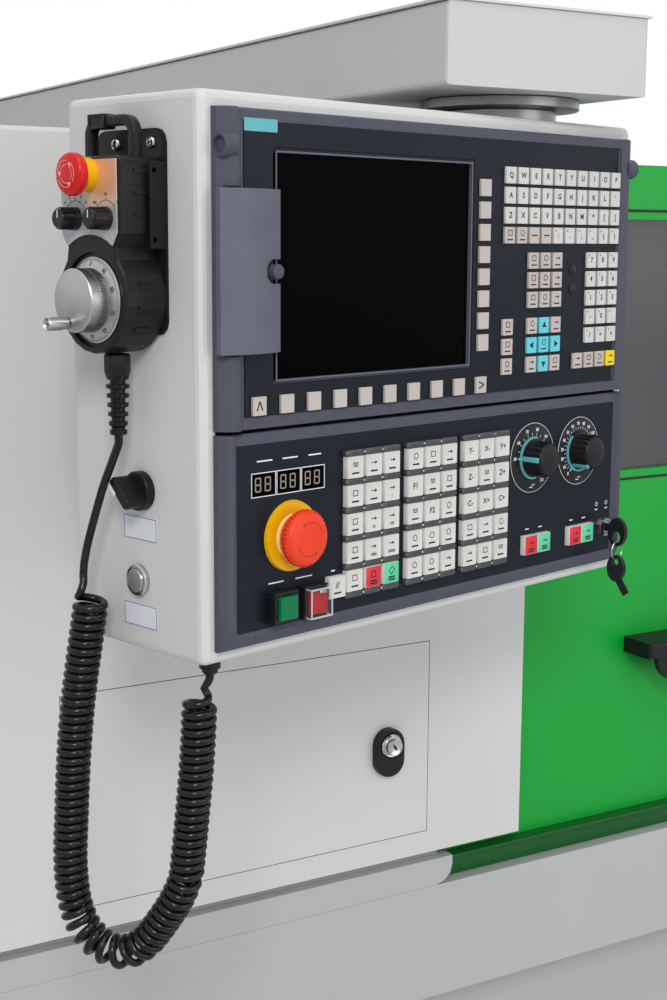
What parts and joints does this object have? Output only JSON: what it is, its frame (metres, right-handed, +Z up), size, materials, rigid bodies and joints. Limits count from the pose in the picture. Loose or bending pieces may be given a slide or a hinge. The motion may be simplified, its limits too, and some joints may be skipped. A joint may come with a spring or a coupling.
{
  "type": "cnc turning lathe",
  "caption": "Flat-bed CNC turning lathe with a sliding door, chuck, turret, tailstock, a swivelling control pendant and a handheld handwheel unit on a coiled cord.",
  "frame": {"origin": "on the floor under the middle of the machine", "axes": "+Z up, +X from the headstock to the tailstock, the operator stands at -Y"},
  "size_m": [2.4, 1.4367, 1.5583],
  "materials": {
    "light_paint": "satin",
    "grey_paint": "satin",
    "green_paint": "gloss",
    "cast_iron": "matte",
    "steel": "brushed",
    "chrome": "polished",
    "aluminium": "satin",
    "charcoal": "fine texture",
    "black_plastic": "matte",
    "red_plastic": "gloss",
    "yellow_plastic": "gloss",
    "green_plastic": "gloss",
    "black_glass": "polished",
    "clear_glass": "polished"
  },
  "bodies": {
    "machine": {"pedestal": "grey_paint", "chip_tray": "grey_paint", "plinth_strip": "light_paint", "left_cover": "light_paint", "right_cover": "light_paint", "rear_guard": "green_paint", "door_sill": "green_paint", "bed": "cast_iron", "headstock": "cast_iron", "support_arm": "light_paint", "arm_lid": "light_paint"},
    "pendant": {"swivel_collar": "steel", "pendant_cabinet": "light_paint", "screen_unit": "charcoal", "screen_glass": "black_glass", "key_panel": "charcoal", "stop_ring": "yellow_plastic", "key_switch": "chrome", "holder_bracket": "black_plastic", "handheld_housing": "black_plastic", "handheld_handle": "black_plastic", "handheld_plate": "aluminium", "reset_bezel": "chrome", "cabinet_gland": "black_plastic", "cord_gland": "black_plastic", "cord_lead_upper": "black_plastic", "cord_coil": "black_plastic", "cord_lead_lower": "black_plastic"},
    "door": {"door": "green_paint", "window": "clear_glass", "door_handle": "black_plastic"},
    "hatch": {"hatch_door": "light_paint", "hatch_lock": "black_plastic"},
    "hatch_cylinder": {"lock_cylinder": "chrome"},
    "spindle": {"spindle": "steel", "chuck": "steel"},
    "saddle": {"saddle": "cast_iron"},
    "cross_slide": {"cross_slide": "cast_iron"},
    "turret": {"turret": "steel"},
    "tailstock": {"tailstock": "cast_iron"},
    "quill": {"quill": "steel"},
    "tailstock_wheel": {"tailstock_wheel": "steel"},
    "flap": {"flap": "charcoal"},
    "stop_button": {"stop_button": "red_plastic"},
    "green_button": {"green_button": "green_plastic"},
    "red_button": {"red_button": "red_plastic"},
    "button_guard": {"button_guard": "clear_glass"},
    "spindle_dial": {"spindle_dial": "black_plastic"},
    "feed_dial": {"feed_dial": "black_plastic"},
    "key": {"key_core": "steel", "key": "black_plastic"},
    "key_ring": {"key_ring": "steel"},
    "spare_key": {"spare_key": "black_plastic"},
    "handheld_stop": {"handheld_stop": "red_plastic"},
    "axis_knob": {"axis_knob": "black_plastic"},
    "step_knob": {"step_knob": "black_plastic"},
    "handwheel": {"handwheel": "aluminium"},
    "crank_knob": {"crank_knob": "aluminium"},
    "selector": {"selector": "black_plastic"},
    "reset_button": {"reset_button": "steel"}
  },
  "joints": [
    {"name": "pendant_swivel", "type": "hinge", "parent": "machine", "child": "pendant", "pos_m": [-0.568, -0.705, 1.48], "axis": [0, 0, 1], "range_deg": [-14.5, 75.5]},
    {"name": "door_slide", "type": "slide", "parent": "machine", "child": "door", "axis": [1, 0, 0], "range_m": [0, 0.78]},
    {"name": "hatch_hinge", "type": "hinge", "parent": "machine", "child": "hatch", "pos_m": [-0.928, -0.55, 0.8615], "axis": [0, 0, -1], "range_deg": [0, 75]},
    {"name": "lock_turn", "type": "hinge", "parent": "hatch", "child": "hatch_cylinder", "pos_m": [-0.578, -0.55, 0.863], "axis": [0, -1, 0], "range_deg": [0, 90]},
    {"name": "spindle_turn", "type": "hinge", "parent": "machine", "child": "spindle", "pos_m": [-0.43, -0.13, 1.054], "axis": [1, 0, 0], "continuous": true},
    {"name": "saddle_slide", "type": "slide", "parent": "machine", "child": "saddle", "axis": [1, 0, 0], "range_m": [-0.2, 0.25]},
    {"name": "cross_slide_travel", "type": "slide", "parent": "saddle", "child": "cross_slide", "axis": [0, 1, 0], "range_m": [-0.03, 0.1]},
    {"name": "turret_turn", "type": "hinge", "parent": "cross_slide", "child": "turret", "pos_m": [0.07, -0.315, 1.004], "axis": [0, 0, 1], "continuous": true},
    {"name": "tailstock_slide", "type": "slide", "parent": "machine", "child": "tailstock", "axis": [1, 0, 0], "range_m": [-0.3, 0.08]},
    {"name": "wheel_turn", "type": "hinge", "parent": "tailstock", "child": "tailstock_wheel", "pos_m": [0.84, -0.13, 1.054], "axis": [1, 0, 0], "range_deg": [0, 5760]},
    {"name": "quill_slide", "type": "slide", "parent": "tailstock", "child": "quill", "axis": [-1, 0, 0], "range_m": [0, 0.081]},
    {"name": "flap_hinge", "type": "hinge", "parent": "pendant", "child": "flap", "pos_m": [-0.93178, -0.87996, 1.34975], "axis": [0, 0, -1], "range_deg": [0, 110]},
    {"name": "stop_press", "type": "slide", "parent": "pendant", "child": "stop_button", "axis": [-0.2504, 0.9681, 0], "range_m": [0, 0.004]},
    {"name": "green_press", "type": "slide", "parent": "pendant", "child": "green_button", "axis": [-0.2504, 0.9681, 0], "range_m": [0, 0.003], "stiffness_N_per_m": 150},
    {"name": "red_press", "type": "slide", "parent": "pendant", "child": "red_button", "axis": [-0.2504, 0.9681, 0], "range_m": [0, 0.003], "stiffness_N_per_m": 150},
    {"name": "guard_hinge", "type": "hinge", "parent": "pendant", "child": "button_guard", "pos_m": [-0.84569, -0.85738, 1.1225], "axis": [-0.9681, -0.2504, 0], "range_deg": [0, 72]},
    {"name": "spindle_dial_turn", "type": "hinge", "parent": "pendant", "child": "spindle_dial", "pos_m": [-0.58816, -0.79078, 1.189], "axis": [0.2504, -0.9681, 0], "range_deg": [-130, 130]},
    {"name": "feed_dial_turn", "type": "hinge", "parent": "pendant", "child": "feed_dial", "pos_m": [-0.52427, -0.77426, 1.189], "axis": [0.2504, -0.9681, 0], "range_deg": [-130, 130]},
    {"name": "key_turn", "type": "hinge", "parent": "pendant", "child": "key", "pos_m": [-0.48651, -0.76449, 1.116], "axis": [0.2504, -0.9681, 0], "range_deg": [0, 90]},
    {"name": "ring_swing", "type": "hinge", "parent": "key", "child": "key_ring", "pos_m": [-0.48204, -0.78177, 1.103], "axis": [0.9681, 0.2504, 0], "range_deg": [-12, 12]},
    {"name": "spare_key_swing", "type": "hinge", "parent": "key_ring", "child": "spare_key", "pos_m": [-0.48204, -0.78177, 1.0892], "axis": [0.9681, 0.2504, 0], "range_deg": [-12, 12]},
    {"name": "handheld_stop_press", "type": "slide", "parent": "pendant", "child": "handheld_stop", "axis": [0.9681, 0.2504, 0], "range_m": [0, 0.003]},
    {"name": "axis_knob_turn", "type": "hinge", "parent": "pendant", "child": "axis_knob", "pos_m": [-0.99956, -0.79802, 1.3853], "axis": [-0.9681, -0.2504, 0], "range_deg": [-60, 60]},
    {"name": "step_knob_turn", "type": "hinge", "parent": "pendant", "child": "step_knob", "pos_m": [-0.99079, -0.8319, 1.3853], "axis": [-0.9681, -0.2504, 0], "range_deg": [-60, 60]},
    {"name": "handwheel_turn", "type": "hinge", "parent": "pendant", "child": "handwheel", "pos_m": [-0.99207, -0.8126, 1.3295], "axis": [-0.9681, -0.2504, 0], "continuous": true},
    {"name": "crank_spin", "type": "hinge", "parent": "handwheel", "child": "crank_knob", "pos_m": [-1.01265, -0.8109, 1.3137], "axis": [-0.9681, -0.2504, 0], "continuous": true},
    {"name": "selector_turn", "type": "hinge", "parent": "pendant", "child": "selector", "pos_m": [-0.95683, -0.80866, 1.192], "axis": [-0.9681, -0.2504, 0], "range_deg": [-90, 0]},
    {"name": "reset_press", "type": "slide", "parent": "pendant", "child": "reset_button", "axis": [0.9681, 0.2504, 0], "range_m": [0, 0.002], "stiffness_N_per_m": 200}
  ],
  "couplings": [
    {"joint": "quill_slide", "follows": "wheel_turn", "m_per_rad": 0.00079577}
  ]
}
